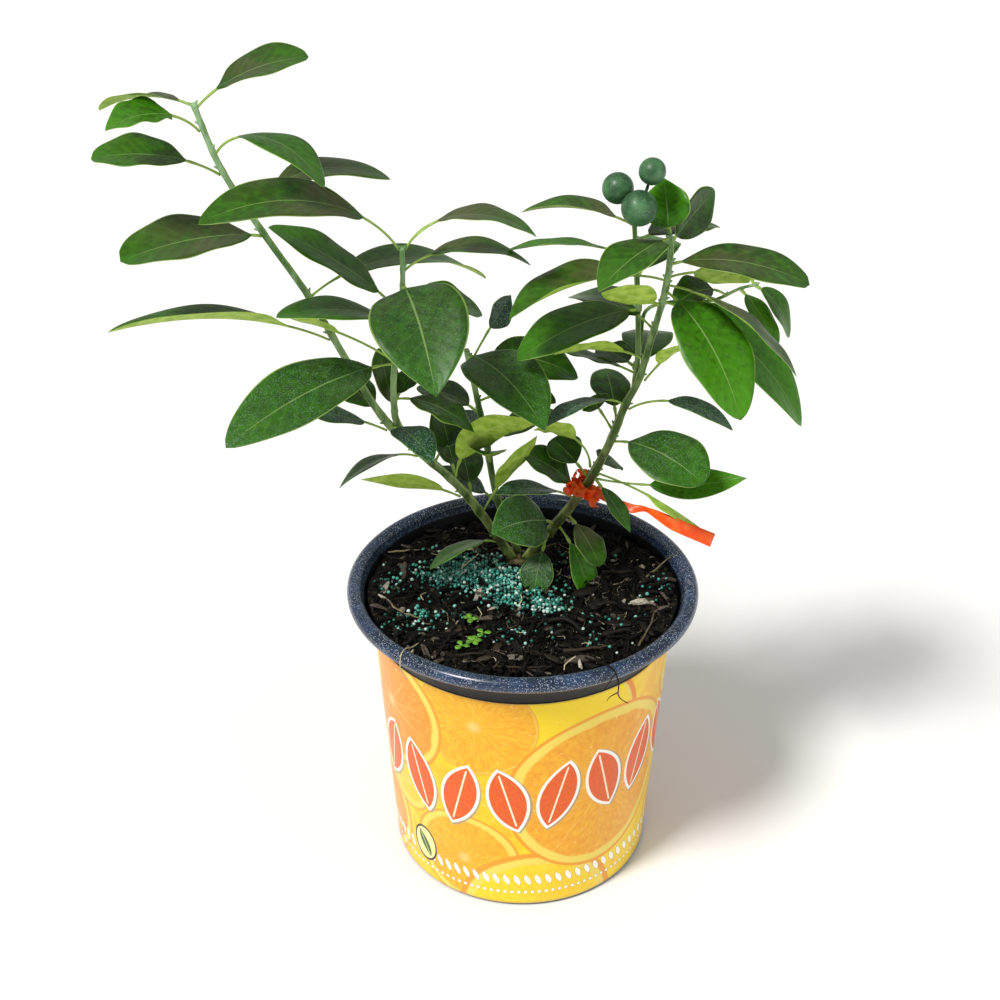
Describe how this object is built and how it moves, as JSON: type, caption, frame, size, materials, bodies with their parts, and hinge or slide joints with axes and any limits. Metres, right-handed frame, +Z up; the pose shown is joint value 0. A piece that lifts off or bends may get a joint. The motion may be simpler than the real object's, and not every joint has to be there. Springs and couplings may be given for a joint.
{
  "type": "potted orange tree",
  "caption": "Young citrus tree in a rolled-rim nursery pot with a printed fruit sleeve, slow-release fertiliser on the mix, unripe fruits and a tied plastic name tag",
  "frame": {"origin": "centre of the pot's flat underside, on the surface it stands on", "axes": "+Z is up; +X is to the right and -Y is toward the viewer of the printed front"},
  "size_m": [0.4945, 0.2798, 0.6723],
  "materials": {
    "pot_plastic": "satin",
    "sleeve_print": "gloss print of orange slices",
    "potting_mix": "rough bark and peat",
    "prill_coat": "satin beads",
    "bark": "rough",
    "stem_skin": "satin",
    "leaf": "waxy gloss",
    "fruit_skin": "pitted satin",
    "tape": "gloss"
  },
  "bodies": {
    "root": {"nursery_pot": "pot_plastic", "printed_sleeve": "sleeve_print", "potting_mix": "potting_mix", "fertiliser_heap": "prill_coat", "rootstock": "bark", "left_stem": "stem_skin", "middle_stem": "stem_skin", "right_stem": "stem_skin", "centre_stem": "stem_skin", "fruit_stem": "stem_skin", "side_stem": "stem_skin", "fruit_1": "fruit_skin", "fruit_2": "fruit_skin", "fruit_3": "fruit_skin", "tag_tie": "tape", "name_tag": "tape", "left_leaf_1": "leaf", "left_leaf_2": "leaf", "left_leaf_3": "leaf", "left_leaf_4": "leaf", "left_leaf_5": "leaf", "left_leaf_6": "leaf", "left_leaf_7": "leaf", "left_leaf_8": "leaf", "left_leaf_9": "leaf", "left_leaf_10": "leaf", "left_leaf_11": "leaf", "left_leaf_12": "leaf", "left_leaf_13": "leaf", "left_leaf_14": "leaf", "centre_leaf_1": "leaf", "centre_leaf_2": "leaf", "centre_leaf_3": "leaf", "centre_leaf_4": "leaf", "centre_leaf_5": "leaf", "centre_leaf_6": "leaf", "centre_leaf_7": "leaf", "centre_leaf_8": "leaf", "centre_leaf_9": "leaf", "middle_leaf_1": "leaf", "middle_leaf_2": "leaf", "right_leaf_1": "leaf", "right_leaf_2": "leaf", "right_leaf_3": "leaf", "right_leaf_4": "leaf", "right_leaf_5": "leaf", "right_leaf_6": "leaf", "right_leaf_7": "leaf", "right_leaf_8": "leaf", "right_leaf_9": "leaf", "right_leaf_10": "leaf", "right_leaf_11": "leaf", "right_leaf_12": "leaf", "right_leaf_13": "leaf", "right_leaf_14": "leaf", "right_leaf_15": "leaf", "fruit_leaf_1": "leaf", "fruit_leaf_2": "leaf", "side_leaf_1": "leaf", "side_leaf_2": "leaf"}
  },
  "joints": []
}
